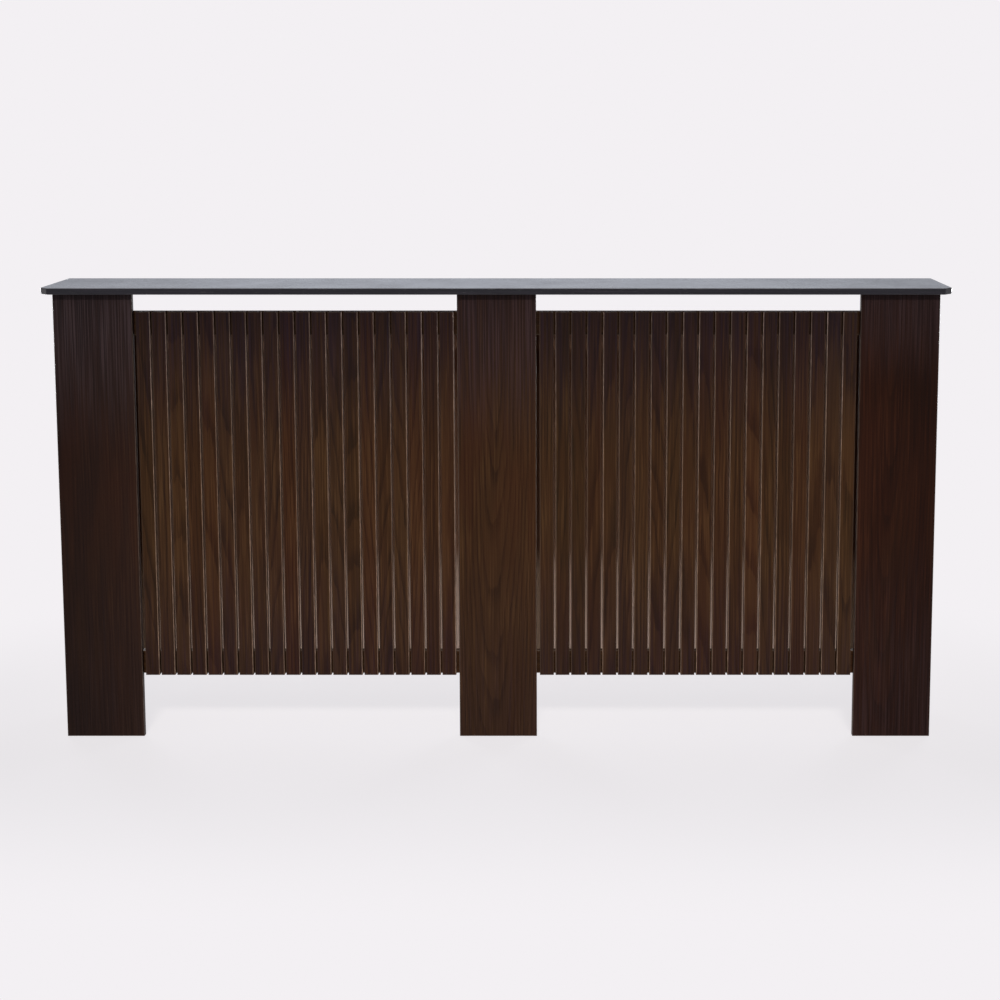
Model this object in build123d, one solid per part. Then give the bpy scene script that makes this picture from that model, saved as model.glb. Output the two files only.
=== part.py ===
from build123d import *
import os

# A radiator cover cabinet: a thin shelf on three front stiles and two side panels, with two panels
# of upright slats between the stiles. It stands on the floor against a wall, open at the back.
# Millimetres. +X to the right, +Y towards the wall, +Z up. The origin is on the floor, under the
# middle of the shelf.

# Driving sizes of the front. The width of the cabinet is built up from these.
slat_count = 20  # in each of the two panels
slat_width = 27.0
slit_width = 3.3
panel_side_gap = 6.15  # between a panel and the stile beside it
stile_width = 150.0
front_thickness = 12.0  # stiles and slats, flush at the front and at the back
slat_arris = 1.2
stile_arris = 1.5

# Driving heights.
cover_height = 880.0
top_vent_height = 35.0  # open between the shelf and the slats
inlet_height = 123.0  # open between the slats and the floor

# Driving sizes of the cross rails that carry the slats from behind.
rail_height = 45.0
rail_thickness = 12.0
rail_lap = 40.0  # how far a rail runs behind the stile at each of its ends
rail_screw_spacing = 22.0  # between the two screws, one above the other, at a rail's end

# Driving sizes of the side panels.
side_depth = 158.0  # from the back of the stiles to the wall
side_thickness = 12.0
skirting_depth = 20.0  # cut out of the back foot for the skirting board
skirting_height = 120.0

# Driving sizes of the shelf.
shelf_thickness = 12.0
shelf_overhang = 20.0  # past the body at the front and at both ends
shelf_corner_cut = 16.0  # taken off each front corner, along both of its edges
shelf_corner_round = 5.0
shelf_arris = 1.2

# Driving sizes of the hidden woodwork.
cleat_size = 17.0  # square strip in each front corner
cleat_foot = 60.0  # its lower end, above the floor
cleat_screw_inset = 45.0  # from the ends of the cleat to its outermost screws
cleat_screw_count = 3  # into the stile, and as many again into the side panel
cleat_screw_stagger = 20.0  # the two rows are shifted by this much along the cleat
batten_thickness = 27.0  # strip that lies under the back edge of the shelf, from front to back
batten_height = 15.0
batten_screw_inset = 60.0
batten_screw_count = 5

# Driving sizes of the dowels that locate the shelf.
dowel_diameter = 6.0
dowel_length = 24.0
dowel_in_shelf = 8.0
dowel_spacing = 100.0  # between the two dowels in the top of a stile
side_dowel_inset = 35.0  # from the front and back edges of a side panel

# Driving sizes of the steel angle brackets.
bracket_leg = 25.0
bracket_width = 20.0
bracket_steel = 2.0
bracket_bend = 1.0  # radius inside the bend
bracket_corner = 4.0
bracket_hole_from_bend = 15.0  # from the outside of the bend to the middle of each hole
centre_bracket_spacing = 36.0  # between the two brackets behind the centre stile
wall_hole_diameter = 5.5
upper_wall_bracket_drop = 80.0  # from the underside of the shelf to the upper wall brackets
lower_wall_bracket_rise = 300.0  # from the floor to the lower wall brackets

# Driving sizes of the screws.
shank_diameter = 3.5
head_diameter = 7.0
head_rim = 0.3
screw_point = 3.5
tip_cover = 4.0  # wood left over the point of a screw
pan_height = 2.2
recess_length = 3.6
recess_width = 0.9
recess_depth = 1.1

# Clearances.
hole_clearance = 0.1  # all round a shank and past its point
seat_clearance = 0.05  # under a countersunk head
dowel_clearance = 0.05
bracket_hole_clearance = 0.35

# Worked out from the driving sizes.
slat_pitch = slat_width + slit_width
opening_width = 2 * panel_side_gap + slat_count * slat_pitch - slit_width
body_width = 3 * stile_width + 2 * opening_width
body_depth = front_thickness + side_depth
shelf_width = body_width + 2 * shelf_overhang
shelf_depth = body_depth + shelf_overhang
wall_y = shelf_depth / 2
front_y = wall_y - body_depth  # front face of the stiles and slats
stile_back_y = front_y + front_thickness
rail_back_y = stile_back_y + rail_thickness
carcass_height = cover_height - shelf_thickness  # the underside of the shelf
slat_top = carcass_height - top_vent_height
stile_spacing = stile_width + opening_width
side_inner_x = body_width / 2 - side_thickness

stile_x = {"left": -stile_spacing, "centre": 0.0, "right": stile_spacing}
opening_x = {"left": stile_width / 2 - stile_spacing, "right": stile_width / 2}
rail_z = {"top": slat_top - rail_height, "bottom": inlet_height}
side_sign = {"left": -1, "right": 1}

head_depth = head_rim + (head_diameter - shank_diameter) / 2
FACING_BACK = (0, 1, 0)
FACING_DOWN = (0, 0, -1)


def board(x, y, z):
    """A rectangular board from its lowest and highest X, Y and Z."""
    size = Box(x[1] - x[0], y[1] - y[0], z[1] - z[0])
    return Pos((x[0] + x[1]) / 2, (y[0] + y[1]) / 2, (z[0] + z[1]) / 2) * size


def placed(x, y, z, facing):
    """The place of a fastener whose head lies at a point of a surface that faces this way."""
    return Plane(origin=(x, y, z), z_dir=facing).location


def spread(low, high, count):
    """Evenly spaced values from low to high, or the middle if there is one."""
    if count == 1:
        return [(low + high) / 2]
    return [low + (high - low) * i / (count - 1) for i in range(count)]


# Fasteners. Each is a list of (place, length), shared by the screws and by the holes for them.


def screw_length(passed, entered):
    """The length that goes through one board and stops short of the far face of the next."""
    return passed + entered - tip_cover


def slat_screws(side, i):
    """One screw in each rail behind a slat, driven forward from the rail's back."""
    x = opening_x[side] + panel_side_gap + i * slat_pitch + slat_width / 2
    length = screw_length(rail_thickness, front_thickness)
    return [
        (placed(x, rail_back_y, z + rail_height / 2, FACING_BACK), length) for z in rail_z.values()
    ]


def rail_end_screws(side, level):
    """Two screws in each end of a rail, driven forward into the stile in front of it."""
    middle = rail_z[level] + rail_height / 2
    outer = opening_x[side] - rail_lap / 2
    inner = opening_x[side] + opening_width + rail_lap / 2
    length = screw_length(rail_thickness, front_thickness)
    return [
        (placed(x, rail_back_y, middle + up * rail_screw_spacing / 2, FACING_BACK), length)
        for x in (outer, inner)
        for up in (-1, 1)
    ]


def cleat_screws_to_stile(side):
    """A row of screws from the back of a corner cleat into the outer stile."""
    x = side_sign[side] * (side_inner_x - cleat_size / 2)
    y = stile_back_y + cleat_size
    heights = spread(cleat_foot + cleat_screw_inset, carcass_height - cleat_screw_inset, cleat_screw_count)
    length = screw_length(cleat_size, front_thickness)
    return [(placed(x, y, z, FACING_BACK), length) for z in heights]


def cleat_screws_to_side(side):
    """A row of screws from the inner face of a corner cleat into the side panel, staggered."""
    x = side_sign[side] * (side_inner_x - cleat_size)
    y = stile_back_y + cleat_size / 2
    low = cleat_foot + cleat_screw_inset - cleat_screw_stagger
    high = carcass_height - cleat_screw_inset - cleat_screw_stagger
    length = screw_length(cleat_size, side_thickness)
    facing = (-side_sign[side], 0, 0)
    return [(placed(x, y, z, facing), length) for z in spread(low, high, cleat_screw_count)]


def batten_screws():
    """A row of screws from the bottom of the back batten up into the shelf."""
    end = side_inner_x - batten_screw_inset
    y = wall_y - batten_thickness / 2
    length = screw_length(batten_height, shelf_thickness)
    return [
        (placed(x, y, carcass_height - batten_height, FACING_DOWN), length)
        for x in spread(-end, end, batten_screw_count)
    ]


# Angle brackets. Each shelf bracket is (X, Y, way): the corner that it sits in, and the way that
# its level leg points.


def stile_bracket_corners(name):
    """One bracket behind an outer stile, or two behind the centre stile, under the shelf."""
    ways = (-0.5, 0.5) if name == "centre" else (0,)
    return [(stile_x[name] + way * centre_bracket_spacing, stile_back_y, FACING_BACK) for way in ways]


def side_bracket_corner(side):
    """One bracket inside a side panel, half way back, under the shelf."""
    middle = stile_back_y + side_depth / 2
    return (side_sign[side] * side_inner_x, middle, (-side_sign[side], 0, 0))


def shelf_bracket_corners():
    """All six shelf brackets."""
    stiles = [corner for name in stile_x for corner in stile_bracket_corners(name)]
    return stiles + [side_bracket_corner(side) for side in side_sign]


def upright_leg_screw(corner, entered):
    """The screw from a shelf bracket's upright leg into the board that the leg lies on."""
    x, y, way = corner
    at = (x + way[0] * bracket_steel, y + way[1] * bracket_steel)
    z = carcass_height - bracket_hole_from_bend
    return (placed(at[0], at[1], z, way), screw_length(bracket_steel, entered))


def level_leg_screw(corner):
    """The screw from a shelf bracket's level leg up into the shelf."""
    x, y, way = corner
    at = (x + way[0] * bracket_hole_from_bend, y + way[1] * bracket_hole_from_bend)
    z = carcass_height - bracket_steel
    return (placed(at[0], at[1], z, FACING_DOWN), screw_length(bracket_steel, shelf_thickness))


def wall_bracket_heights():
    """The middle heights of the wall brackets at each end of the cabinet."""
    return [lower_wall_bracket_rise, carcass_height - upper_wall_bracket_drop]


def wall_bracket_screws(side):
    """The screws from the wall brackets into a side panel."""
    x = side_sign[side] * (side_inner_x - bracket_steel)
    y = wall_y - bracket_hole_from_bend
    length = screw_length(bracket_steel, side_thickness)
    facing = (-side_sign[side], 0, 0)
    return [(placed(x, y, z, facing), length) for z in wall_bracket_heights()]


def bracket_screws():
    """Every pan head screw, into the stiles, side panels and shelf."""
    found = [level_leg_screw(corner) for corner in shelf_bracket_corners()]
    for name in stile_x:
        found += [upright_leg_screw(corner, front_thickness) for corner in stile_bracket_corners(name)]
    for side in side_sign:
        found += [upright_leg_screw(side_bracket_corner(side), side_thickness)]
        found += wall_bracket_screws(side)
    return found


# Dowels. Each is the X and Y of an upright dowel between a board and the shelf.


def stile_dowels(name):
    """Two dowels in the top edge of a stile."""
    y = front_y + front_thickness / 2
    return [(stile_x[name] + way * dowel_spacing / 2, y) for way in (-1, 1)]


def side_dowels(side):
    """Two dowels in the top edge of a side panel."""
    x = side_sign[side] * (side_inner_x + side_thickness / 2)
    return [(x, stile_back_y + side_dowel_inset), (x, wall_y - side_dowel_inset)]


def all_dowels():
    """Every dowel under the shelf."""
    stiles = [dowel for name in stile_x for dowel in stile_dowels(name)]
    return stiles + [dowel for side in side_sign for dowel in side_dowels(side)]


# Cutters.


def drilled(piece, screws):
    """A board with the countersunk and blind holes for these screws."""
    shank = shank_diameter / 2 + hole_clearance
    head = head_diameter / 2 + seat_clearance
    holes = []
    for place, length in screws:
        depth = length + hole_clearance
        holes.append(place * Pos(0, 0, -depth / 2) * Cylinder(shank, depth))
        cone = head_depth - head_rim
        holes.append(place * Pos(0, 0, -head_rim - cone / 2) * Cone(shank, head, cone))
        holes.append(place * Pos(0, 0, -head_rim / 2) * Cylinder(head, head_rim))
    return piece - holes


def piloted(piece, screws):
    """A board with plain blind holes for the screws that come through a bracket."""
    depths = [(place, length + hole_clearance) for place, length in screws]
    radius = shank_diameter / 2 + hole_clearance
    return piece - [place * Pos(0, 0, -depth / 2) * Cylinder(radius, depth) for place, depth in depths]


def dowelled(piece, dowels):
    """A board with the holes for these dowels, on whichever side of the joint it lies."""
    radius = dowel_diameter / 2 + dowel_clearance
    low = carcass_height + dowel_in_shelf - dowel_length
    high = carcass_height + dowel_in_shelf + hole_clearance
    return piece - [Pos(x, y, (low + high) / 2) * Cylinder(radius, high - low) for x, y in dowels]


# Boards.


def upright_edges(piece):
    """The long upright edges of a board, before any hole is cut in it."""
    return piece.edges().filter_by(Axis.Z)


def top_shelf():
    """The shelf, with cut and rounded front corners and an eased edge above and below."""
    x, y = shelf_width / 2, shelf_depth / 2
    cut = shelf_corner_cut
    outline = Polyline((-x, y), (-x, cut - y), (cut - x, -y), (x - cut, -y), (x, cut - y), (x, y), close=True)
    face = make_face(outline)
    corners = face.vertices().filter_by(lambda corner: corner.Y < 0)
    blank = Pos(0, 0, carcass_height) * extrude(fillet(corners, shelf_corner_round), shelf_thickness)
    rims = blank.edges().filter_by(lambda edge: abs(edge.tangent_at(0.5).Z) < 0.5)
    eased = [edge for edge in rims if edge.center().Y < y - shelf_arris]
    shelf = fillet(eased, shelf_arris)
    shelf = drilled(shelf, batten_screws())
    shelf = piloted(shelf, [level_leg_screw(corner) for corner in shelf_bracket_corners()])
    return dowelled(shelf, all_dowels())


def stile(name):
    """A full-height front board, which stands on the floor and carries the front of the shelf."""
    x, half = stile_x[name], stile_width / 2
    blank = board((x - half, x + half), (front_y, stile_back_y), (0, carcass_height))
    ends = [screw for side in opening_x for level in rail_z for screw in rail_end_screws(side, level)]
    screws = [screw for screw in ends if abs(screw[0].position.X - x) < half]
    if name in side_sign:
        screws += cleat_screws_to_stile(name)
    piece = drilled(fillet(upright_edges(blank), stile_arris), screws)
    brackets = [upright_leg_screw(corner, front_thickness) for corner in stile_bracket_corners(name)]
    return dowelled(piloted(piece, brackets), stile_dowels(name))


def slat(side, i):
    """One upright slat, with eased edges, carried by the two rails behind it."""
    x = opening_x[side] + panel_side_gap + i * slat_pitch
    blank = board((x, x + slat_width), (front_y, stile_back_y), (inlet_height, slat_top))
    return drilled(fillet(upright_edges(blank), slat_arris), slat_screws(side, i))


def rail(side, level):
    """A cross rail behind the slats, lapped behind the stile at each of its ends."""
    x = opening_x[side]
    z = rail_z[level]
    ends = (x - rail_lap, x + opening_width + rail_lap)
    blank = board(ends, (stile_back_y, rail_back_y), (z, z + rail_height))
    crossings = [screw for i in range(slat_count) for screw in slat_screws(side, i)]
    in_rail = [screw for screw in crossings if z < screw[0].position.Z < z + rail_height]
    return drilled(blank, in_rail + rail_end_screws(side, level))


def side_panel(side):
    """An end of the cabinet, with its back foot cut away for the skirting board."""
    ends = sorted(side_sign[side] * x for x in (side_inner_x, side_inner_x + side_thickness))
    blank = board(ends, (stile_back_y, wall_y), (0, carcass_height))
    notch = board(ends, (wall_y - skirting_depth, wall_y), (0, skirting_height))
    piece = drilled(blank - notch, cleat_screws_to_side(side))
    brackets = [upright_leg_screw(side_bracket_corner(side), side_thickness)]
    return dowelled(piloted(piece, brackets + wall_bracket_screws(side)), side_dowels(side))


def corner_cleat(side):
    """The square strip that ties an outer stile to its side panel."""
    ends = sorted(side_sign[side] * x for x in (side_inner_x - cleat_size, side_inner_x))
    blank = board(ends, (stile_back_y, stile_back_y + cleat_size), (cleat_foot, carcass_height))
    return drilled(blank, cleat_screws_to_stile(side) + cleat_screws_to_side(side))


def back_batten():
    """The strip under the back edge of the shelf, between the side panels."""
    ends = (-side_inner_x, side_inner_x)
    depth = (wall_y - batten_thickness, wall_y)
    return drilled(board(ends, depth, (carcass_height - batten_height, carcass_height)), batten_screws())


# Hardware, each made once and copied to its places.


def angle_bracket(hole_diameters):
    """A pressed steel angle with its bend along Y, one leg up +Z and one along +X, a hole in each."""
    leg, steel, half = bracket_leg, bracket_steel, bracket_width / 2
    section = Polyline((0, 0), (leg, 0), (leg, steel), (steel, steel), (steel, leg), (0, leg), close=True)
    blank = extrude(Plane.XZ * make_face(section), half, both=True)
    for corner, radius in ((0, steel + bracket_bend), (steel, bracket_bend)):
        along_bend = blank.edges().filter_by(Axis.Y)
        at_corner = along_bend.sort_by_distance((corner, 0, corner))[0]
        blank = fillet(at_corner, radius)
    ends = blank.edges().filter_by(lambda edge: abs(edge.length - steel) < 0.01)
    blank = fillet(ends, bracket_corner)
    along, up = hole_diameters
    in_level = Pos(bracket_hole_from_bend, 0, steel / 2) * Cylinder(along / 2, 2 * steel)
    in_upright = Pos(steel / 2, 0, bracket_hole_from_bend) * Rot(0, 90, 0) * Cylinder(up / 2, 2 * steel)
    return blank - [in_level, in_upright]


def shelf_brackets():
    """The brackets that hold the shelf down, each in the corner between a board and the shelf."""
    hole = shank_diameter + 2 * bracket_hole_clearance
    bracket = angle_bracket((hole, hole))
    places = []
    for x, y, way in shelf_bracket_corners():
        places.append(Plane(origin=(x, y, carcass_height), x_dir=way, z_dir=FACING_DOWN).location)
    return [place * bracket for place in places]


def wall_brackets():
    """The brackets behind the side panels: one leg on the panel, one leg flat against the wall."""
    bracket = angle_bracket((wall_hole_diameter, shank_diameter + 2 * bracket_hole_clearance))
    places = []
    for sign in side_sign.values():
        for z in wall_bracket_heights():
            corner = (sign * side_inner_x, wall_y, z)
            places.append(Plane(origin=corner, x_dir=(-sign, 0, 0), z_dir=(0, -1, 0)).location)
    return [place * bracket for place in places]


def cross_recess(top):
    """The cross-shaped recess in the top of a screw's head."""
    depth = 2 * recess_depth
    blades = [Box(recess_length, recess_width, depth), Box(recess_width, recess_length, depth)]
    return [Pos(0, 0, top) * blade for blade in blades]


def turned_screw(head_outline, shoulder, length):
    """A screw turned from its head's outline and a pointed shank, with a cross recess in its top."""
    shank = shank_diameter / 2
    end = [(shank, shoulder), (shank, screw_point - length), (0, -length)]
    face = make_face(Plane.XZ * Polyline(*head_outline, *end, close=True))
    return revolve(face, Axis.Z) - cross_recess(head_outline[0][1])


def countersunk_screw(length):
    """A wood screw whose flat head lies level with the surface."""
    head = head_diameter / 2
    return turned_screw([(0, 0), (head, 0), (head, -head_rim)], -head_depth, length)


def pan_screw(length):
    """A screw whose low round head stands on a bracket."""
    head = head_diameter / 2
    crown = [(0, pan_height), (0.55 * head, 0.9 * pan_height), (0.9 * head, 0.55 * pan_height)]
    return turned_screw(crown + [(head, 0)], 0, length)


def driven(screws, kind):
    """A copy of a screw in each place."""
    made = {length: kind(length) for length in {length for _, length in screws}}
    return [place * made[length] for place, length in screws]


def dowel_pins():
    """All the dowels, each standing on the bottom of its hole."""
    z = carcass_height + dowel_in_shelf - dowel_length / 2
    pin = Cylinder(dowel_diameter / 2, dowel_length)
    pin = chamfer(pin.edges().filter_by(GeomType.CIRCLE), dowel_diameter / 8)
    return [Pos(x, y, z) * pin for x, y in all_dowels()]


def panel_screws():
    """Every screw that goes through a cross rail, into a slat or a stile."""
    found = []
    for side in opening_x:
        found += [screw for i in range(slat_count) for screw in slat_screws(side, i)]
        found += [screw for level in rail_z for screw in rail_end_screws(side, level)]
    return found


def cleat_screws():
    """Every screw through a corner cleat."""
    return [s for side in side_sign for s in cleat_screws_to_stile(side) + cleat_screws_to_side(side)]


def nodes():
    """Each piece by its name. Like fasteners share a name, as a group of separate solids."""
    found = {"top_shelf": top_shelf(), "back_batten": back_batten()}
    for name in stile_x:
        found[f"{name}_stile"] = stile(name)
    for side in side_sign:
        found[f"{side}_side_panel"] = side_panel(side)
        found[f"{side}_corner_cleat"] = corner_cleat(side)
        for level in rail_z:
            found[f"{side}_{level}_rail"] = rail(side, level)
        for i in range(slat_count):
            found[f"{side}_slat_{i + 1:02d}"] = slat(side, i)
    groups = {
        "shelf_brackets": shelf_brackets(),
        "wall_brackets": wall_brackets(),
        "shelf_dowels": dowel_pins(),
        "panel_screws": driven(panel_screws(), countersunk_screw),
        "cleat_screws": driven(cleat_screws(), countersunk_screw),
        "batten_screws": driven(batten_screws(), countersunk_screw),
        "bracket_screws": driven(bracket_screws(), pan_screw),
    }
    for name, copies in groups.items():
        found[name] = Compound([solid for copy in copies for solid in copy.solids()])
    return found


os.makedirs("parts", exist_ok=True)
for node_name, shape in nodes().items():
    export_step(shape, f"parts/{node_name}.step")
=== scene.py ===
"""Looks for a slatted radiator cover cabinet: boards in dark-stained walnut veneer, softwood
cleats and a batten behind them, beech dowels, and plated steel brackets and screws."""

import math

import bpy
import numpy as np
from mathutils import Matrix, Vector


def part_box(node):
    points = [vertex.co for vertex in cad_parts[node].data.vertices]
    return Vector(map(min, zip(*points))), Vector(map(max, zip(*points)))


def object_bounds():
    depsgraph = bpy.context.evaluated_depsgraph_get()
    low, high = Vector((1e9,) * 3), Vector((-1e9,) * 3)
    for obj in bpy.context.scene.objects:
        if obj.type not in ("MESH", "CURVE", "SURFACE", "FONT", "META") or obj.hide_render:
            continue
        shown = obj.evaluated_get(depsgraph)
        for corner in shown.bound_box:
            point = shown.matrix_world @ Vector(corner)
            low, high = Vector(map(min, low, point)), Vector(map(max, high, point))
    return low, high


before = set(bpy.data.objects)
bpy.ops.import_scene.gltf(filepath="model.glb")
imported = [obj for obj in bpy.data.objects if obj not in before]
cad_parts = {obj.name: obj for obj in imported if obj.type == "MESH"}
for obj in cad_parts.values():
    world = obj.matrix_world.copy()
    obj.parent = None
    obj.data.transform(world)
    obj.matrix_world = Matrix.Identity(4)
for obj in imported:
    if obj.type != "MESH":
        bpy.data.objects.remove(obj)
cad_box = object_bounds()

MM = 0.001
X, Y, Z = range(3)

# Axis numbers across, into and along a board, by the way that the board stands or lies.
UPRIGHT_FRONT = (X, Y, Z)
UPRIGHT_SIDE = (Y, X, Z)
LEVEL_FRONT = (Z, Y, X)
LEVEL_TOP = (Y, Z, X)

# The studio: one pale tone for the floor and everything behind it, under a cool dome.
BACKGROUND_TONE = (0.896, 0.871, 0.896, 1.0)
SKY_TONE = (0.90, 0.95, 1.0, 1.0)
SKY_STRENGTH = 0.20

# Painted light and shade for the wall patch seen through the slits: low down and higher up,
# painted as lit, and painted as in shade behind the stiles.
WALL_LOW_PAINTED_LIGHT = (0.76, 0.60, 0.51, 1.0)
WALL_HIGH_PAINTED_LIGHT = (0.31, 0.185, 0.130, 1.0)
WALL_LOW_PAINTED_SHADE = (0.30, 0.215, 0.155, 1.0)
WALL_HIGH_PAINTED_SHADE = (0.085, 0.045, 0.030, 1.0)

# The stained walnut, from its darkest pores to its lightest summer growth.
WALNUT_DEEP = (0.0110, 0.0048, 0.0022, 1.0)
WALNUT_BODY = (0.0355, 0.0155, 0.0062, 1.0)
WALNUT_LIGHT = (0.0680, 0.0330, 0.0135, 1.0)
DARK_DEEP = (0.0060, 0.0030, 0.0026, 1.0)
DARK_BODY = (0.0165, 0.0074, 0.0053, 1.0)
DARK_LIGHT = (0.0370, 0.0175, 0.0105, 1.0)
RED_DEEP = (0.0045, 0.0012, 0.0006, 1.0)
RED_BODY = (0.0140, 0.0036, 0.0014, 1.0)
RED_LIGHT = (0.0390, 0.0120, 0.0055, 1.0)
SHELF_DEEP = (0.0038, 0.0036, 0.0080, 1.0)
SHELF_BODY = (0.0108, 0.0092, 0.0175, 1.0)
SHELF_LIGHT = (0.0240, 0.0195, 0.0300, 1.0)

# Hues that the stain turns to in patches, and from slat to slat.
WALNUT_REDDISH = (0.0490, 0.0130, 0.0055, 1.0)
WALNUT_OLIVE = (0.0375, 0.0198, 0.0070, 1.0)
WALNUT_SMOKY = (0.0215, 0.0110, 0.0115, 1.0)

# The stain at the arrises, where the lacquer is rubbed through and a paler highlight is painted
# too; painted shade and sheen that turn the upright boards greyer and cooler towards the top and
# the foot; the slats' sides, painted paler for the light on them; and the highlight painted on
# their arris, paler again towards the top.
WALNUT_WEAR_AND_HIGHLIGHT = (0.1200, 0.0880, 0.0720, 1.0)
SLAT_WEAR_AND_HIGHLIGHT = (0.0600, 0.0370, 0.0250, 1.0)
SHELF_WEAR_AND_HIGHLIGHT = (0.0450, 0.0400, 0.0450, 1.0)
WALNUT_SHADE_AND_SHEEN = (0.0470, 0.0260, 0.0270, 1.0)
PALE_SHADE_AND_SHEEN = (0.0480, 0.0310, 0.0330, 1.0)
SLAT_SHADE_AND_SHEEN = (0.0165, 0.0095, 0.0175, 1.0)
SLAT_SIDE_PAINTED_LIGHT = (0.1150, 0.0620, 0.0390, 1.0)
SLAT_ARRIS_HIGHLIGHT = (0.3900, 0.2600, 0.1900, 1.0)
SLAT_ARRIS_TOP_HIGHLIGHT = (0.5600, 0.4150, 0.3650, 1.0)

# The bare wood, light and dark, and the two greys of the zinc on brackets and on screws.
PINE_TONES = ((0.60, 0.40, 0.21, 1.0), (0.40, 0.20, 0.075, 1.0))
BEECH_TONES = ((0.58, 0.36, 0.20, 1.0), (0.44, 0.24, 0.12, 1.0))
BRACKET_TONES = ((0.36, 0.37, 0.39, 1.0), (0.20, 0.21, 0.23, 1.0))
SCREW_TONES = ((0.56, 0.54, 0.47, 1.0), (0.34, 0.32, 0.27, 1.0))


def along_grain(width, length):
    """A pattern's cell from its width across the grain and its length along it, in
    millimetres."""
    return (width * MM, width * MM, length * MM)


def even(size):
    """A pattern's cell of one size in every direction, in millimetres."""
    return (size * MM, size * MM, size * MM)


# Cells of the walnut's patterns. A pattern makes about one swing in a cell.
SWAY = along_grain(110.0, 600.0)
RIPPLE = along_grain(16.0, 110.0)
FIBRES = along_grain(0.9, 55.0)
STREAKS = along_grain(4.2, 320.0)
LINES = along_grain(3.2, 130.0)
CLOUDS = along_grain(55.0, 420.0)
TINTS = along_grain(130.0, 750.0)
PORES = along_grain(1.1, 16.0)
PATCHES = along_grain(22.0, 170.0)

# Cells of the patterns in its lacquer, in the painted shade and sheen, and in the painted
# highlights along the arrises.
SHADE_AND_SHEEN_COMB = along_grain(2.4, 200.0)
SHADE_AND_SHEEN_STREAKS = along_grain(3.5, 160.0)
ARRIS_HIGHLIGHT_BREAKS = along_grain(10.0, 60.0)
WEAR_AND_HIGHLIGHT_BREAKS = even(18.0)
SHEEN_PATCHES = even(70.0)

# The walnut's tone goes from 0, the darkest, to 1. It starts at the base tone, and the figure
# adds its own base and what each of its patterns gives.
BASE_TONE = 0.42
FIGURE_BASE = 0.14
STREAK_SWING = 0.90
CLOUD_SWING = 0.28
FIBRE_SWING = 0.50
LINE_TONES = (-0.06, 0.42)
EARLY_TONE = -0.38
PORE_TONE = -0.28

# What each pattern adds to the lacquer's roughness.
SHEEN_SWING = 0.10
FIBRE_SHEEN_SWING = 0.10
PORE_DULLNESS = 0.22
WEAR_DULLNESS = 0.12

# The height of its relief, about 0 to 1, with what each pattern adds to that, and how deep and
# how strong the relief is.
RELIEF_BASE = 0.65
FIBRE_HEIGHT = 0.35
EARLY_HEIGHT = -0.30
PORE_HEIGHT = -0.55
RELIEF_DEPTH = 0.25 * MM
RELIEF_STRENGTH = 0.6


class PaintedShadeAndSheen:
    """Painted shade and sheen on a board, which turn its colour greyer and cooler by height: its
    tone, its share at the cabinet's top, over how many metres it fades below that, and its share
    at the floor."""

    def __init__(self, tone, top, reach=0.34, foot=0.0):
        self.tone = tone
        self.top = top
        self.reach = reach
        self.foot = foot


class Stain:
    """How a board is stained: its tones from the pores to the lightest growth, how strongly its
    figure shows, the largest share of the patches in other hues, and its painted shade and sheen."""

    def __init__(self, tones, contrast, patches=0.0, shade_and_sheen=None):
        self.tones = tones
        self.contrast = contrast
        self.patches = patches
        self.shade_and_sheen = shade_and_sheen


class Cut:
    """How a board lies in its log: how far its middle is from the pith, across and into the
    board, how far the pith leans through it for each metre along, and how far apart the
    growth rings are. shift moves the tone up or down, and fade moves it by that much for each
    metre across. tilt and shift may also be another node's output."""

    def __init__(self, from_pith, tilt, shift=0.0, fade=0.0, ring=6.0 * MM):
        self.from_pith = from_pith
        self.tilt = tilt
        self.shift = shift
        self.fade = fade
        self.ring = ring


class Coat:
    """A lacquer: the shader's specular level, the roughness before any pattern adds to it, the
    tone at the arrises, where the lacquer is rubbed through and a paler highlight is painted too,
    and how much rougher it grows towards the board's ends."""

    def __init__(self, level=0.07, roughness=0.40, edge_wear_and_highlight=WALNUT_WEAR_AND_HIGHLIGHT, dull_ends=0.0):
        self.level = level
        self.roughness = roughness
        self.edge_wear_and_highlight = edge_wear_and_highlight
        self.dull_ends = dull_ends


BROWN_TONES = (WALNUT_DEEP, WALNUT_BODY, WALNUT_LIGHT)
DARK_TONES = (DARK_DEEP, DARK_BODY, DARK_LIGHT)
RED_TONES = (RED_DEEP, RED_BODY, RED_LIGHT)
SHELF_TONES = (SHELF_DEEP, SHELF_BODY, SHELF_LIGHT)

WALNUT = Stain(BROWN_TONES, 0.70, patches=0.32, shade_and_sheen=PaintedShadeAndSheen(WALNUT_SHADE_AND_SHEEN, 0.95, foot=0.20))
SLAT_WALNUT = Stain(BROWN_TONES, 1.25, patches=0.26, shade_and_sheen=PaintedShadeAndSheen(SLAT_SHADE_AND_SHEEN, 0.62, foot=0.42))
RAIL_WALNUT = Stain(BROWN_TONES, 0.80, patches=0.32)
DARK_WALNUT = Stain(DARK_TONES, 0.45, patches=0.22, shade_and_sheen=PaintedShadeAndSheen(PALE_SHADE_AND_SHEEN, 1.00, foot=0.10))
RED_WALNUT = Stain(RED_TONES, 0.60, patches=0.22, shade_and_sheen=PaintedShadeAndSheen(WALNUT_SHADE_AND_SHEEN, 0.78, 0.20, foot=0.32))
SHELF_STAIN = Stain(SHELF_TONES, 1.0)
# The highlight painted on the slats' arris grows paler towards the cabinet's top.
ARRIS_HIGHLIGHT_BY_HEIGHT = PaintedShadeAndSheen(SLAT_ARRIS_TOP_HIGHLIGHT, 1.0)

SATIN = Coat()
SLAT_SATIN = Coat(edge_wear_and_highlight=SLAT_WEAR_AND_HIGHLIGHT)
SHELF_SATIN = Coat(level=0.30, roughness=0.24, edge_wear_and_highlight=SHELF_WEAR_AND_HIGHLIGHT, dull_ends=0.056)


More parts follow.
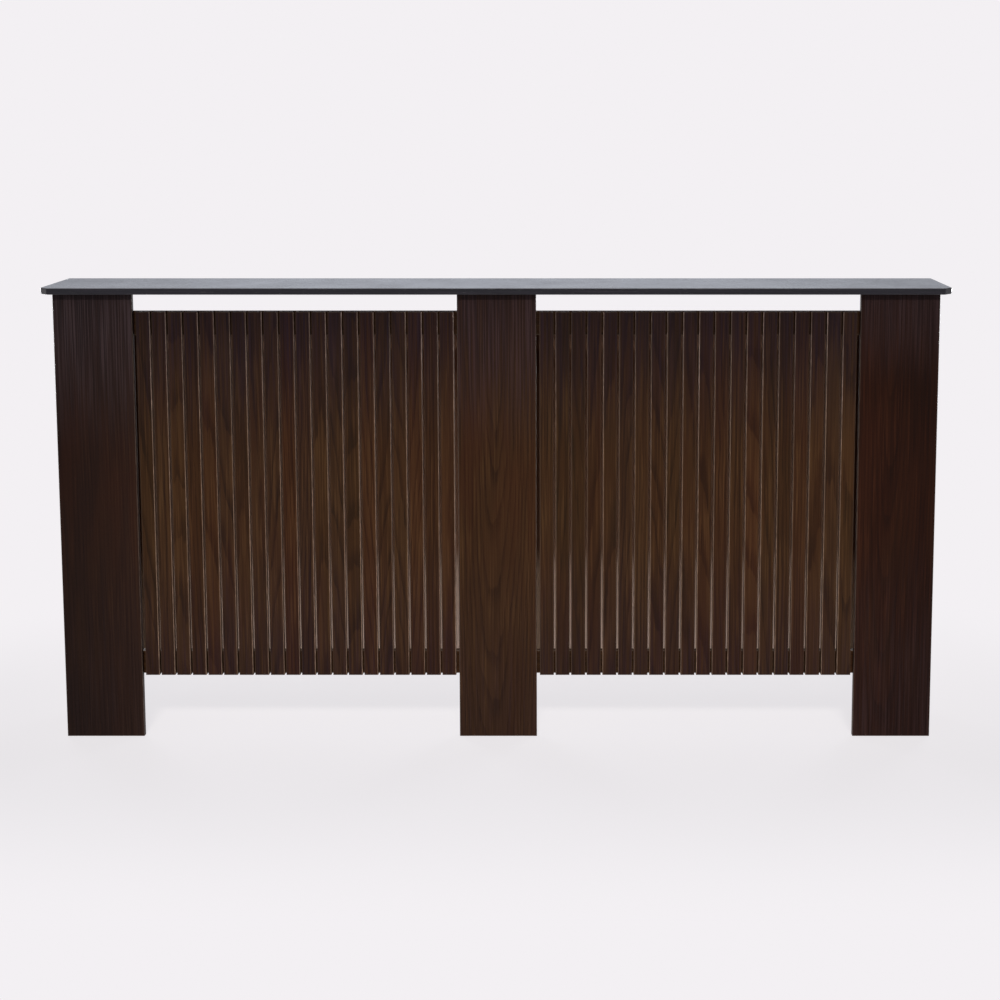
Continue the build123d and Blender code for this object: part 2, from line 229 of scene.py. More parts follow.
class Finish:
    """One material's graph. Most calls add nodes to it and give back the last one's output."""

    def __init__(self, name):
        self.material = bpy.data.materials.new(name)
        self.material.use_nodes = True
        self.tree = self.material.node_tree
        self.shader = self.tree.nodes["Principled BSDF"]
        self.place = self.tree.nodes.new("ShaderNodeTexCoord").outputs["Object"]

    def feed(self, socket, value):
        """Links another node's output to the socket, or sets the socket to a plain value."""
        if isinstance(value, bpy.types.NodeSocket):
            self.tree.links.new(value, socket)
        else:
            socket.default_value = value

    def surface(self, **values):
        """Sets sockets of the shader by their names, with underscores for spaces."""
        for name, value in values.items():
            self.feed(self.shader.inputs[name.replace("_", " ")], value)

    def math(self, operation, first, second=0.0, third=0.0):
        """One step of arithmetic on plain numbers."""
        node = self.tree.nodes.new("ShaderNodeMath")
        node.operation = operation
        for socket, value in zip(node.inputs, (first, second, third)):
            self.feed(socket, value)
        return node.outputs["Value"]

    def add(self, *values):
        """The sum of several values."""
        total = values[0]
        for value in values[1:]:
            total = self.math("ADD", total, value)
        return total

    def times(self, *values):
        """The product of several values."""
        total = values[0]
        for value in values[1:]:
            total = self.math("MULTIPLY", total, value)
        return total

    def most(self, *values):
        """The largest of several values."""
        total = values[0]
        for value in values[1:]:
            total = self.math("MAXIMUM", total, value)
        return total

    def around(self, value, amount):
        """Turns a pattern from 0 to 1 into a swing of plus or minus half the amount."""
        return self.math("MULTIPLY_ADD", value, amount, -0.5 * amount)

    def rise(self, value, low, high, start=0.0, end=1.0):
        """Goes smoothly from start to end while the value goes from low to high."""
        node = self.tree.nodes.new("ShaderNodeMapRange")
        node.interpolation_type = "SMOOTHSTEP"
        for name, given in (
            ("Value", value),
            ("From Min", low),
            ("From Max", high),
            ("To Min", start),
            ("To Max", end),
        ):
            self.feed(node.inputs[name], given)
        return node.outputs["Result"]

    def split(self, vector):
        """The three parts of a vector."""
        node = self.tree.nodes.new("ShaderNodeSeparateXYZ")
        self.feed(node.inputs["Vector"], vector)
        return list(node.outputs)

    def join(self, *parts):
        """A vector from its three parts."""
        node = self.tree.nodes.new("ShaderNodeCombineXYZ")
        for socket, value in zip(node.inputs, parts):
            self.feed(socket, value)
        return node.outputs["Vector"]

    def length(self, vector):
        """How long a vector is."""
        node = self.tree.nodes.new("ShaderNodeVectorMath")
        node.operation = "LENGTH"
        self.feed(node.inputs[0], vector)
        return node.outputs["Value"]

    def in_cells(self, place, cell):
        """The place counted in cells of that size in metres."""
        node = self.tree.nodes.new("ShaderNodeVectorMath")
        node.operation = "DIVIDE"
        self.feed(node.inputs[0], place)
        node.inputs[1].default_value = cell
        return node.outputs["Vector"]

    def noise(self, place, cell, detail=1.0, roughness=0.5):
        """Soft noise from 0 to 1, with about one swing to a cell."""
        counted = self.in_cells(place, cell)
        node = self.tree.nodes.new("ShaderNodeTexNoise")
        self.feed(node.inputs["Vector"], counted)
        node.inputs["Scale"].default_value = 1.0
        node.inputs["Detail"].default_value = detail
        node.inputs["Roughness"].default_value = roughness
        return node.outputs["Fac"]

    def noise_along(self, run):
        """Soft noise from 0 to 1 on one running number, with about one swing to a unit."""
        node = self.tree.nodes.new("ShaderNodeTexNoise")
        node.noise_dimensions = "1D"
        self.feed(node.inputs["W"], run)
        node.inputs["Scale"].default_value = 1.0
        node.inputs["Detail"].default_value = 1.0
        return node.outputs["Fac"]

    def chance(self, number):
        """Three even random values from 0 to 1 that depend on one number."""
        node = self.tree.nodes.new("ShaderNodeTexWhiteNoise")
        node.noise_dimensions = "1D"
        self.feed(node.inputs["W"], number)
        return self.split(node.outputs["Color"])

    def scatter(self, place, cell):
        """Points scattered one to a cell. The node's outputs are the distance to the nearest
        one, in cells, and a random colour of its own."""
        counted = self.in_cells(place, cell)
        node = self.tree.nodes.new("ShaderNodeTexVoronoi")
        self.feed(node.inputs["Vector"], counted)
        node.inputs["Scale"].default_value = 1.0
        return node.outputs

    def tones(self, value, *colours):
        """A colour from evenly spaced tones, the first at 0 and the last at 1."""
        node = self.tree.nodes.new("ShaderNodeValToRGB")
        stops = node.color_ramp.elements
        while len(stops) < len(colours):
            stops.new(0.5)
        for number, colour in enumerate(colours):
            stops[number].position = number / (len(colours) - 1)
            stops[number].color = colour
        self.feed(node.inputs["Fac"], value)
        return node.outputs["Color"]

    def blend(self, share, first, second):
        """Goes from the first colour to the second as the share goes from 0 to 1."""
        node = self.tree.nodes.new("ShaderNodeMix")
        node.data_type = "RGBA"
        self.feed(node.inputs[0], share)
        for socket, value in zip([s for s in node.inputs if s.type == "RGBA"], (first, second)):
            self.feed(socket, value)
        return [s for s in node.outputs if s.type == "RGBA"][0]

    def relief(self, height, depth, strength):
        """Bends the shading normal by a height pattern of about 0 to 1, which stands for a real
        depth in metres."""
        node = self.tree.nodes.new("ShaderNodeBump")
        node.inputs["Strength"].default_value = strength
        node.inputs["Distance"].default_value = depth
        self.feed(node.inputs["Height"], height)
        self.feed(self.shader.inputs["Normal"], node.outputs["Normal"])


def board_position(finish, middle, order):
    """How far a point lies across, into and along a board, from the board's middle.
    order gives the axis numbers of those three directions."""
    parts = finish.split(finish.place)
    return [finish.math("SUBTRACT", parts[axis], middle[axis]) for axis in order]


def near_arris(finish, spot, halves, reach):
    """1 on a board's arrises and 0 away from them. Each pair of axes gives the product of how
    near the point is to both of the board's faces, and the largest product counts."""
    near = []
    for offset, half in zip(spot, halves):
        inward = finish.math("SUBTRACT", half, finish.math("ABSOLUTE", offset))
        near.append(finish.rise(inward, 0.0, reach, 1.0, 0.0))
    pairs = [finish.times(near[one], near[other]) for one, other in ((0, 1), (0, 2), (1, 2))]
    return finish.most(*pairs)


def growth_rings(finish, spot, cut):
    """The distance from a wandering pith, counted in rings. The pith runs nearly along the
    board and leans through it, so the rings meet the face as tall arches."""
    sway_swing = 30.0 * MM
    ripple_swing = 4.5 * MM
    run_of_years = 21.0 * MM
    years_swing = 1.4
    across, inward, along = spot
    place = finish.join(across, inward, along)
    sway = finish.around(finish.noise(place, SWAY), sway_swing)
    ripple = finish.around(finish.noise(place, RIPPLE, detail=2.0), ripple_swing)
    sideways = finish.add(across, sway, cut.from_pith[0])
    deep = finish.add(inward, cut.from_pith[1], finish.times(along, cut.tilt))
    radius = finish.add(finish.length(finish.join(sideways, deep, 0.0)), ripple)
    years = finish.noise_along(finish.math("DIVIDE", radius, run_of_years))
    uneven = finish.around(years, years_swing)
    return finish.add(finish.math("DIVIDE", radius, cut.ring), uneven)


def early_wood(finish, rings):
    """1 in the open wood that starts each growth ring, fading to 0 in its dense late wood."""
    early_end, next_start = 0.46, 0.93
    phase = finish.math("FRACT", rings)
    starts = finish.rise(phase, 0.0, early_end, 1.0, 0.0)
    return finish.most(starts, finish.rise(phase, next_start, 1.0))


def open_pores(finish, place, early):
    """1 in the short dark pores, which are deepest in the early wood."""
    pore_edge, wood_edge = 0.16, 0.34
    late_share = 0.3
    distance = finish.scatter(place, PORES)["Distance"]
    dash = finish.rise(distance, pore_edge, wood_edge, 1.0, 0.0)
    return finish.times(dash, finish.rise(early, 0.0, 0.8, late_share, 1.0))


def hue_patches(finish, place, colour, most):
    """Turns the colour to other hues of the stain in patches, by that share at most."""
    least = 0.05
    tint = finish.noise(place, TINTS)
    patch = finish.noise(place, PATCHES)
    hue = finish.tones(tint, WALNUT_SMOKY, WALNUT_REDDISH, WALNUT_BODY, WALNUT_OLIVE)
    return finish.blend(finish.rise(patch, 0.35, 0.65, least, most), colour, hue)


def stained_grain(finish, spot, cut, stain):
    """The whole look of the stained veneer from a point's place in its board: growth rings,
    streaks, fibres and open pores. Gives the colour, and the patterns that also shape the
    lacquer: early wood, fibres and pores."""
    place = finish.join(*spot)
    early = early_wood(finish, growth_rings(finish, spot, cut))
    fibre = finish.noise(place, FIBRES, detail=2.0)
    streak = finish.noise(place, STREAKS, detail=2.0, roughness=0.6)
    line = finish.noise(place, LINES)
    cloud = finish.noise(place, CLOUDS)
    pore = open_pores(finish, place, early)
    figure = finish.add(
        FIGURE_BASE,
        finish.around(streak, STREAK_SWING),
        finish.around(cloud, CLOUD_SWING),
        finish.around(fibre, FIBRE_SWING),
        finish.rise(line, 0.50, 0.72, *LINE_TONES),
        finish.times(early, EARLY_TONE),
        finish.times(pore, PORE_TONE),
    )
    shown = finish.times(figure, stain.contrast)
    tone = finish.add(BASE_TONE, shown, finish.times(spot[0], cut.fade), cut.shift)
    colour = finish.tones(tone, *stain.tones)
    if stain.patches:
        colour = hue_patches(finish, place, colour, stain.patches)
    return colour, early, fibre, pore


def paint_shade_and_sheen(finish, colour, shade_and_sheen):
    """Painted shade and sheen on the upright boards: the colour turns greyer and cooler, in paler
    and darker streaks along the grain, by a share that grows towards the cabinet's top and towards
    the floor."""
    levels = (0.6, 1.0, 1.5)
    foot_reach = 0.45
    thinnest, thickest = 0.45, 1.2
    height = finish.split(finish.place)[Z]
    summit = cad_box[1].z
    comb = finish.noise(finish.place, SHADE_AND_SHEEN_COMB)
    shades = [tuple(level * part for part in shade_and_sheen.tone[:3]) + (1.0,) for level in levels]
    streaked = finish.tones(finish.rise(comb, 0.36, 0.64), *shades)
    streak = finish.noise(finish.place, SHADE_AND_SHEEN_STREAKS, detail=2.0)
    share = finish.rise(height, summit - shade_and_sheen.reach, summit, 0.0, shade_and_sheen.top)
    if shade_and_sheen.foot:
        share = finish.add(share, finish.rise(height, 0.0, foot_reach, shade_and_sheen.foot, 0.0))
    share = finish.times(share, finish.rise(streak, 0.3, 0.7, thinnest, thickest))
    return finish.blend(share, colour, streaked)


def lacquer(finish, grain, spot, halves, coat, dull=0.0):
    """The lacquer over the stain, rubbed through a little along the arrises, where a paler
    highlight is painted with it, and with the fibres and pores telling through it. dull adds to
    its roughness."""
    arris_reach = 2.2 * MM
    least_wear_and_highlight = 0.35
    colour, early, fibre, pore = grain
    rub = finish.noise(finish.place, WEAR_AND_HIGHLIGHT_BREAKS, detail=3.0, roughness=0.65)
    arris = near_arris(finish, spot, halves, arris_reach)
    wear_and_highlight = finish.times(arris, finish.rise(rub, 0.25, 0.60, least_wear_and_highlight, 1.0))
    sheen_patches = finish.noise(finish.place, SHEEN_PATCHES, detail=2.0)
    rough = finish.add(
        coat.roughness,
        finish.around(sheen_patches, SHEEN_SWING),
        finish.around(fibre, FIBRE_SHEEN_SWING),
        finish.times(pore, PORE_DULLNESS),
        finish.times(wear_and_highlight, WEAR_DULLNESS),
        dull,
    )
    height = finish.add(
        finish.times(fibre, FIBRE_HEIGHT),
        finish.times(early, EARLY_HEIGHT),
        finish.times(pore, PORE_HEIGHT),
        RELIEF_BASE,
    )
    # At the arrises the colour goes to the rubbed-through stain with a painted highlight.
    finish.surface(
        Base_Color=finish.blend(wear_and_highlight, colour, coat.edge_wear_and_highlight),
        Roughness=rough,
        Specular_IOR_Level=coat.level,
    )
    finish.relief(height, RELIEF_DEPTH, RELIEF_STRENGTH)


def dress(material, *nodes):
    """Gives CAD nodes one material."""
    for node in nodes:
        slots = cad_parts[node].data.materials
        slots.clear()
        slots.append(material)


def end_dullness(finish, along, half_length, most):
    """How much rougher the lacquer is: nothing over a board's middle, and most at its ends."""
    even_share = 0.45
    outward = finish.math("ABSOLUTE", along)
    return finish.rise(outward, even_share * half_length, half_length, 0.0, most)


def dress_board(name, node, order, cut, stain=WALNUT, coat=SATIN):
    """Lacquered walnut veneer for one board. order gives the axis numbers across, into and
    along the board."""
    finish = Finish(name)
    low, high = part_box(node)
    halves = [(high[axis] - low[axis]) / 2 for axis in order]
    spot = board_position(finish, (low + high) / 2, order)
    colour, *figure = stained_grain(finish, spot, cut, stain)
    # Painted shade and sheen: greyer and cooler towards the cabinet's top and foot.
    if stain.shade_and_sheen:
        colour = paint_shade_and_sheen(finish, colour, stain.shade_and_sheen)
    dull = 0.0
    if coat.dull_ends:
        dull = end_dullness(finish, spot[2], halves[2], coat.dull_ends)
    lacquer(finish, (colour, *figure), spot, halves, coat, dull)
    dress(finish.material, node)


def slat_position(finish, first, second):
    """The number of the slat that a point lies in, the point's place in that slat, and half
    the slat's size. The number is how many pitches the point lies from the row's start."""
    low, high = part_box(first)
    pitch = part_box(second)[0].x - low.x
    middle = (low + high) / 2
    halves = (high - low) / 2
    half_slit = (pitch - 2 * halves.x) / 2
    x, y, z = finish.split(finish.place)
    run = finish.math("SUBTRACT", x, low.x - half_slit)
    number = finish.math("FLOOR", finish.math("DIVIDE", run, pitch))
    across = finish.math("SUBTRACT", run, finish.times(finish.add(number, 0.5), pitch))
    inward = finish.math("SUBTRACT", y, middle.y)
    along = finish.math("SUBTRACT", z, middle.z)
    return number, (across, inward, along), halves


def paint_arris_highlight(finish, colour, number, spot, halves, towards, highlight_strength, luck):
    """A highlight painted on the slats' front arris, on the side of the cabinet's middle, paler
    again towards the cabinet's top. Its share changes from the first slat to the eleventh, and by
    each slat's luck."""
    changing_slats = 10.0
    luck_swing = 0.70
    least_highlight = 0.70
    across, inward, _ = spot
    inner = finish.rise(finish.times(across, towards), halves.x - 1.7 * MM, halves.x - 1.1 * MM)
    front = finish.rise(inward, 1.4 * MM - halves.y, 3.4 * MM - halves.y, 1.0, 0.0)
    arris = paint_shade_and_sheen(finish, SLAT_ARRIS_HIGHLIGHT, ARRIS_HIGHLIGHT_BY_HEIGHT)
    # Noise that breaks up the painted highlight along the arris.
    rubbed = finish.noise(finish.place, ARRIS_HIGHLIGHT_BREAKS, detail=2.0)
    highlight_share = finish.rise(number, 0.0, changing_slats, *highlight_strength)
    highlight_share = finish.add(highlight_share, finish.around(luck, luck_swing))
    highlight_share = finish.times(highlight_share, finish.rise(rubbed, 0.3, 0.6, least_highlight, 1.0))
    return finish.blend(finish.times(inner, front, highlight_share), colour, arris)


def walnut_slats(name, first, second, towards, highlight_strength, seed):
    """One finish for a row of slats, in which each slat's number picks its own piece of wood and
    its tone. first and second are the row's first two slats, which give its start and its pitch.
    towards is 1 or -1, the side on which the cabinet's middle lies, where a highlight is painted
    on the arris, and the argument after it gives how strong that painted highlight is on the first
    slat and on the eleventh. The slats' sides are painted paler for the light on them."""
    log_width, log_depth, log_length = 0.16, 0.05, 7.0
    lean_swing = 0.10
    tone_swing = 0.30
    hue_share = 0.24
    side_dullness = 0.35
    finish = Finish(name)
    number, spot, halves = slat_position(finish, first, second)
    across, inward, along = spot
    luck = finish.chance(finish.add(number, seed))
    more_luck = finish.chance(finish.add(number, seed + 0.5))
    in_log = (
        finish.add(across, finish.around(luck[0], log_width)),
        finish.add(inward, finish.times(luck[1], log_depth)),
        finish.add(along, finish.times(luck[2], log_length)),
    )
    lean = finish.around(more_luck[0], lean_swing)
    shift = finish.around(more_luck[1], tone_swing)
    cut = Cut((0.0, 0.045), lean, shift, ring=5.8 * MM)
    colour, *figure = stained_grain(finish, in_log, cut, SLAT_WALNUT)
    hue = finish.tones(more_luck[2], WALNUT_REDDISH, WALNUT_BODY, WALNUT_OLIVE, WALNUT_SMOKY)
    # Painted shade and sheen: the slats turn greyer and cooler towards their top and foot.
    colour = paint_shade_and_sheen(finish, finish.blend(hue_share, colour, hue), SLAT_WALNUT.shade_and_sheen)
    # Painted light: the slats' sides are painted paler, for the light that falls on them in the
    # slits.
    off_middle = finish.math("ABSOLUTE", across)
    side = finish.rise(off_middle, halves.x - 0.35 * MM, halves.x - 0.05 * MM)
    colour = finish.blend(side, colour, SLAT_SIDE_PAINTED_LIGHT)
    # Painted highlight on the arris that faces the cabinet's middle.
    colour = paint_arris_highlight(finish, colour, number, spot, halves, towards, highlight_strength, luck[1])
    dull = finish.times(side, side_dullness)
    lacquer(finish, (colour, *figure), spot, halves, SLAT_SATIN, dull)
    return finish.material


def dress_timber(name, node, order, tones, ring, stripes=0.75):
    """Planed, unfinished wood: even rings seen as stripes, with fine fibres over them. tones
    are its light and dark tone, and stripes is how strongly the rings show."""
    fibres = along_grain(0.7, 30.0)
    stains = along_grain(30.0, 200.0)
    base_share, fibre_swing, stain_swing = 0.15, 0.25, 0.30
    roughness, rough_swing = 0.62, 0.20
    fibre_height, late_height = 0.5, 0.4
    finish = Finish(name)
    low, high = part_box(node)
    spot = board_position(finish, (low + high) / 2, order)
    place = finish.join(*spot)
    rings = growth_rings(finish, spot, Cut((0.02, 0.03), 0.02, ring=ring))
    late = finish.rise(finish.math("FRACT", rings), 0.35, 0.92)
    fibre = finish.noise(place, fibres, detail=2.0)
    stain = finish.noise(place, stains, detail=2.0)
    share = finish.add(
        base_share,
        finish.times(late, stripes),
        finish.around(fibre, fibre_swing),
        finish.around(stain, stain_swing),
    )
    height = finish.add(finish.times(fibre, fibre_height), finish.times(late, late_height))
    finish.surface(
        Base_Color=finish.blend(finish.math("MAXIMUM", share, 0.0), *tones),
        Roughness=finish.add(roughness, finish.around(fibre, rough_swing)),
        Specular_IOR_Level=0.3,
    )
    finish.relief(height, 0.20 * MM, RELIEF_STRENGTH)
    dress(finish.material, node)


def plated_steel(name, tones, spangle, roughness):
    """Zinc plate: crystals of slightly different grey, rubbed bright and dull in patches, with
    fine scratches. tones are its two greys, and spangle is its crystals' size in millimetres."""
    rubbed_patches = even(6.0)
    scratches = (0.4 * MM, 6.0 * MM, 6.0 * MM)
    crystal_share = 0.45
    rub_swing, scratch_swing = 0.22, 0.12
    scratch_height, crystal_height = 0.5, 0.2
    finish = Finish(name)
    crystal = finish.scatter(finish.place, even(spangle))
    grey = finish.split(crystal["Color"])[0]
    rub = finish.noise(finish.place, rubbed_patches, detail=3.0, roughness=0.6)
    scratch = finish.noise(finish.place, scratches)
    share = finish.add(finish.times(grey, crystal_share), finish.times(rub, 1.0 - crystal_share))
    rough = finish.add(
        roughness,
        finish.around(rub, rub_swing),
        finish.around(scratch, scratch_swing),
    )
    height = finish.add(finish.times(scratch, scratch_height), finish.times(grey, crystal_height))
    finish.surface(Base_Color=finish.blend(share, *tones), Metallic=1.0, Roughness=rough)
    finish.relief(height, 0.05 * MM, 0.5)
    return finish.material


def dress_the_shelf():
    """Blue-black stain under a glossier coat, which dulls a little towards the ends."""
    cut = Cut((0.05, 0.06), 0.03)
    dress_board("walnut_shelf", "top_shelf", LEVEL_TOP, cut, SHELF_STAIN, SHELF_SATIN)


def dress_the_uprights():
    """The three stiles, each stained its own way, and the two side panels. The outer stiles
    grow paler towards the cabinet's middle."""
    left_cut = Cut((0.09, 0.05), 0.03, fade=2.0)
    centre_cut = Cut((0.005, 0.040), -0.055)
    right_cut = Cut((0.015, 0.035), -0.050, fade=-2.5)
    dress_board("walnut_left_stile", "left_stile", UPRIGHT_FRONT, left_cut, DARK_WALNUT)
    dress_board("walnut_centre_stile", "centre_stile", UPRIGHT_FRONT, centre_cut)
    dress_board("walnut_right_stile", "right_stile", UPRIGHT_FRONT, right_cut, RED_WALNUT)
    dress_board("walnut_left_side", "left_side_panel", UPRIGHT_SIDE, Cut((0.01, 0.05), 0.045))
    dress_board("walnut_right_side", "right_side_panel", UPRIGHT_SIDE, Cut((-0.02, 0.06), -0.04))


def dress_the_rails():
    """The cross rails behind the slats."""
    cut = Cut((0.03, 0.05), 0.02)
    for side in ("left", "right"):
        for level in ("top", "bottom"):
            rail = f"{side}_{level}_rail"
            dress_board(f"walnut_{rail}", rail, LEVEL_FRONT, cut, RAIL_WALNUT)


def dress_the_slats():
    """Both rows of slats. The seeds lie further apart than a row has slats. The right row's
    painted arris highlight is weaker near the cabinet's middle."""
    for side, towards, highlight_strength, seed in (
        ("left", 1.0, (1.00, 1.00), 3.0),
        ("right", -1.0, (0.42, 0.90), 63.0),
    ):
        slats = sorted(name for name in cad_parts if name.startswith(f"{side}_slat_"))
        finish = walnut_slats(f"walnut_{side}_slats", slats[0], slats[1], towards, highlight_strength, seed)
        dress(finish, *slats)


def dress_the_bare_wood():
    """The softwood cleats and batten, and the beech dowels."""
    for cleat in ("left_corner_cleat", "right_corner_cleat"):
        dress_timber(f"softwood_{cleat}", cleat, UPRIGHT_FRONT, PINE_TONES, 3.2 * MM)
    dress_timber("softwood_batten", "back_batten", LEVEL_FRONT, PINE_TONES, 3.6 * MM)
    dress_timber("beech", "shelf_dowels", UPRIGHT_FRONT, BEECH_TONES, 1.5 * MM, stripes=0.40)


def dress_the_steel():
    """The angle brackets and the screws."""
    plate = plated_steel("zinc_plate", BRACKET_TONES, spangle=2.2, roughness=0.50)
    dress(plate, "shelf_brackets", "wall_brackets")
    screw = plated_steel("zinc_screws", SCREW_TONES, spangle=1.2, roughness=0.38)
    dress(screw, "panel_screws", "cleat_screws", "batten_screws", "bracket_screws")


def flat_piece(name, corner, first_side, second_side):
    """One flat piece of the stage: its corner, plus u times the first side, plus v times the
    second, where u and v go from 0 to 1. Its four points are taken in turn round the edge."""
    u = np.array((0.0, 1.0, 1.0, 0.0))
    v = np.array((0.0, 0.0, 1.0, 1.0))
    points = np.array(corner) + np.outer(u, first_side) + np.outer(v, second_side)
    mesh = bpy.data.meshes.new(name)
    mesh.from_pydata(points.tolist(), [], [(0, 1, 2, 3)])
    piece = bpy.data.objects.new(name, mesh)
    bpy.context.scene.collection.objects.link(piece)
    return piece


def seen_directly(tree):
    """1 for rays from the camera, from a mirror surface or through glass, and 0 for the rest."""
    path = tree.nodes.new("ShaderNodeLightPath")
    first = tree.nodes.new("ShaderNodeMath")
    first.operation = "MAXIMUM"
    tree.links.new(path.outputs["Is Camera Ray"], first.inputs[0])
    tree.links.new(path.outputs["Is Glossy Ray"], first.inputs[1])
    second = tree.nodes.new("ShaderNodeMath")
    second.operation = "MAXIMUM"
    tree.links.new(first.outputs[0], second.inputs[0])
    tree.links.new(path.outputs["Is Transmission Ray"], second.inputs[1])
    return second.outputs[0]


def mix_shaders(tree, share, first, second, end):
    """Feeds the tree's end with the first shader where the share is 0 and the second where
    it is 1."""
    mixed = tree.nodes.new("ShaderNodeMixShader")
    tree.links.new(share, mixed.inputs[0])
    tree.links.new(first.outputs[0], mixed.inputs[1])
    tree.links.new(second.outputs[0], mixed.inputs[2])
    tree.links.new(mixed.outputs[0], tree.nodes[end].inputs["Surface"])


def lay_the_floor():
    """A pale floor. Far from the cabinet the camera sees its plain tone, and near the cabinet
    it sees some of the lit floor too, with the shadow."""
    reach = 40.0
    shadow_reach = 0.70
    plain_share = 0.80
    corner = (-reach, -reach, 0.0)
    floor = flat_piece("floor", corner, (2.0 * reach, 0.0, 0.0), (0.0, 2.0 * reach, 0.0))
    finish = Finish("pale_floor")
    finish.surface(Base_Color=BACKGROUND_TONE, Roughness=1.0, Specular_IOR_Level=0.0)
    _, high = cad_box
    x, y, _ = finish.split(finish.place)
    beyond_x = finish.math("SUBTRACT", finish.math("ABSOLUTE", x), high.x)
    beyond_y = finish.math("SUBTRACT", finish.math("ABSOLUTE", y), high.y)
    beyond = (finish.math("MAXIMUM", beyond_x, 0.0), finish.math("MAXIMUM", beyond_y, 0.0), 0.0)
    apart = finish.length(finish.join(*beyond))
    plain = finish.rise(apart, 0.0, shadow_reach, plain_share, 1.0)
    plain = finish.times(plain, seen_directly(finish.tree))
    glow = finish.tree.nodes.new("ShaderNodeEmission")
    glow.inputs["Color"].default_value = BACKGROUND_TONE
    mix_shaders(finish.tree, plain, finish.shader, glow, "Material Output")
    floor.data.materials.append(finish.material)


def paint_wall_light_and_shade(finish, x, z):
    """Painted light and shade on the wall patch: bright low down and dim higher up, with painted
    shade behind the stiles, and beside the centre stile too, a little further to its right than to
    its left."""
    bright_up_to, dim_from = 270.0 * MM, 335.0 * MM
    further_right = 7.5 * MM
    centre_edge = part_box("centre_stile")[1].x
    outer_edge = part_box("right_stile")[0].x
    high_up = finish.rise(z, bright_up_to, dim_from)
    lit = finish.blend(high_up, WALL_LOW_PAINTED_LIGHT, WALL_HIGH_PAINTED_LIGHT)
    shaded = finish.blend(high_up, WALL_LOW_PAINTED_SHADE, WALL_HIGH_PAINTED_SHADE)
    off_centre = finish.math("ABSOLUTE", finish.math("SUBTRACT", x, further_right))
    past_centre = finish.rise(off_centre, centre_edge + 1.0 * MM, centre_edge + 21.0 * MM)
    off_middle = finish.math("ABSOLUTE", x)
    before_outer = finish.rise(off_middle, outer_edge, outer_edge + 16.0 * MM, 1.0, 0.0)
    return finish.blend(finish.times(past_centre, before_outer), shaded, lit)


def stand_the_painted_shade():
    """A patch of wall painted with the light and shade of the cabinet's inside, which shows
    through the slits: seen from the front only, and fading out under the slats' tops and just
    below their feet."""
    low, high = cad_box
    slat_low, slat_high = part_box("left_slat_01")
    back = high.y + MM
    reach = high.x - 70.0 * MM
    width = (2.0 * reach, 0.0, 0.0)
    patch = flat_piece("painted_shade_patch", (-reach, back, low.z), width, (0.0, 0.0, high.z - low.z))
    finish = Finish("painted_shade_wall")
    tree = finish.tree
    x, _, z = finish.split(finish.place)
    # The patch's colour is painted light and shade.
    finish.surface(Base_Color=paint_wall_light_and_shade(finish, x, z), Roughness=1.0, Specular_IOR_Level=0.0)
    up_from = finish.rise(z, slat_low.z - 25.0 * MM, slat_low.z - 9.0 * MM)
    down_from = finish.rise(z, slat_high.z - 40.0 * MM, slat_high.z - 20.0 * MM, 1.0, 0.0)
    facing_away = tree.nodes.new("ShaderNodeNewGeometry").outputs["Backfacing"]
    shown = finish.times(up_from, down_from, finish.math("SUBTRACT", 1.0, facing_away))
    clear = tree.nodes.new("ShaderNodeBsdfTransparent")
    mix_shaders(tree, shown, clear, finish.shader, "Material Output")
    patch.data.materials.append(finish.material)
    patch.visible_diffuse = False
    patch.visible_shadow = False


def light_the_sky():
    """A cool, even dome. The camera and mirror surfaces see the plain background instead."""
    world = bpy.data.worlds.new("studio")
    bpy.context.scene.world = world
    world.use_nodes = True
    tree = world.node_tree
    dome = tree.nodes["Background"]
    dome.inputs["Color"].default_value = SKY_TONE
    dome.inputs["Strength"].default_value = SKY_STRENGTH
    plain = tree.nodes.new("ShaderNodeBackground")
    plain.inputs["Color"].default_value = BACKGROUND_TONE
    plain.inputs["Strength"].default_value = 1.0
    mix_shaders(tree, seen_directly(tree), dome, plain, "World Output")


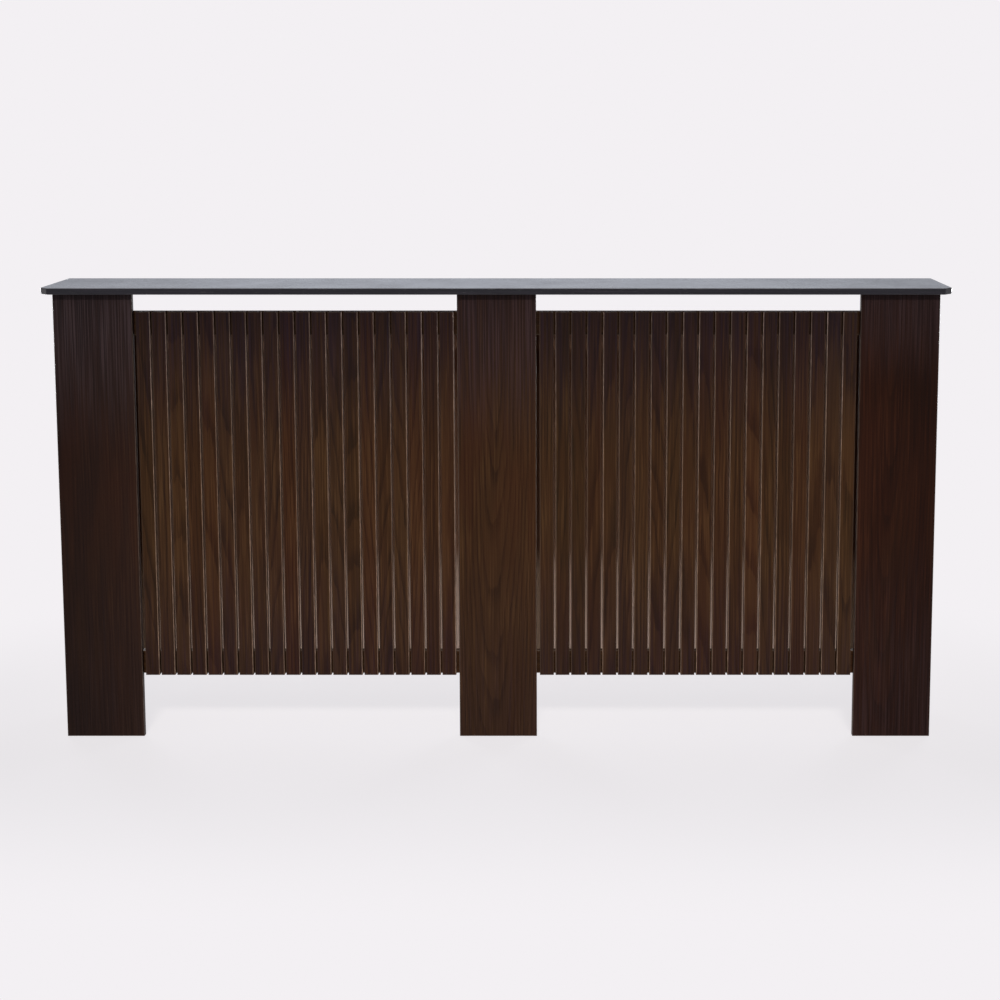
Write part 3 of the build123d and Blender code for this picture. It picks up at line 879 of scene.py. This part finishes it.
def soft_lamp(name, stand, aim, size, watts, colour, spread):
    """A rectangular softbox that the camera doesn't see. spread is the angle of its beam, in
    degrees."""
    lamp = bpy.data.lights.new(name, "AREA")
    lamp.shape = "RECTANGLE"
    lamp.size, lamp.size_y = size
    lamp.energy = watts
    lamp.color = colour
    lamp.spread = math.radians(spread)
    holder = bpy.data.objects.new(name, lamp)
    bpy.context.scene.collection.objects.link(holder)
    holder.location = stand
    holder.rotation_euler = (Vector(aim) - Vector(stand)).to_track_quat("-Z", "Y").to_euler()
    holder.visible_camera = False


def light_the_cabinet():
    """A wide softbox high in front, with a grid that keeps its warm light on the middle
    height of the panels. A bluish strip high behind gives the shelf its sheen, and two low
    softboxes light the back."""
    low, high = cad_box
    half_way_up = (low.z + high.z) / 2
    soft_lamp(
        "front_softbox",
        stand=(0.1, -2.6, 2.3),
        aim=(0.05, low.y, 0.385),
        size=(2.1, 0.4),
        watts=4.3,
        colour=(1.0, 0.95, 0.88),
        spread=20.0,
    )
    soft_lamp(
        "rear_strip",
        stand=(0.0, 3.6, 1.6),
        aim=(0.0, 0.0, 0.9),
        size=(5.0, 1.4),
        watts=4.5,
        colour=(0.24, 0.58, 1.0),
        spread=180.0,
    )
    for name, side in (("left", -1.0), ("right", 1.0)):
        soft_lamp(
            f"{name}_rear_softbox",
            stand=(side * 1.9, 2.2, 0.50),
            aim=(side * 0.4, 0.0, half_way_up),
            size=(1.4, 0.6),
            watts=9.0,
            colour=(0.94, 0.97, 1.0),
            spread=60.0,
        )


def place_the_camera():
    """Stands where the photographer stood: a little right of the middle, above the shelf and
    looking slightly down."""
    pitch_down = 6.374
    camera = bpy.data.cameras.new("camera")
    camera.sensor_width = 36.0
    camera.lens = 57.6
    camera.shift_x = -0.065
    camera.shift_y = -0.205
    holder = bpy.data.objects.new("camera", camera)
    bpy.context.scene.collection.objects.link(holder)
    holder.location = (0.1298, -3.0811, 1.2012)
    holder.rotation_euler = (math.radians(90.0 - pitch_down), 0.0, 0.0)
    bpy.context.scene.camera = holder


dress_the_shelf()
dress_the_uprights()
dress_the_rails()
dress_the_slats()
dress_the_bare_wood()
dress_the_steel()
lay_the_floor()
stand_the_painted_shade()
light_the_sky()
light_the_cabinet()
place_the_camera()
bpy.context.scene.view_settings.view_transform = "Standard"
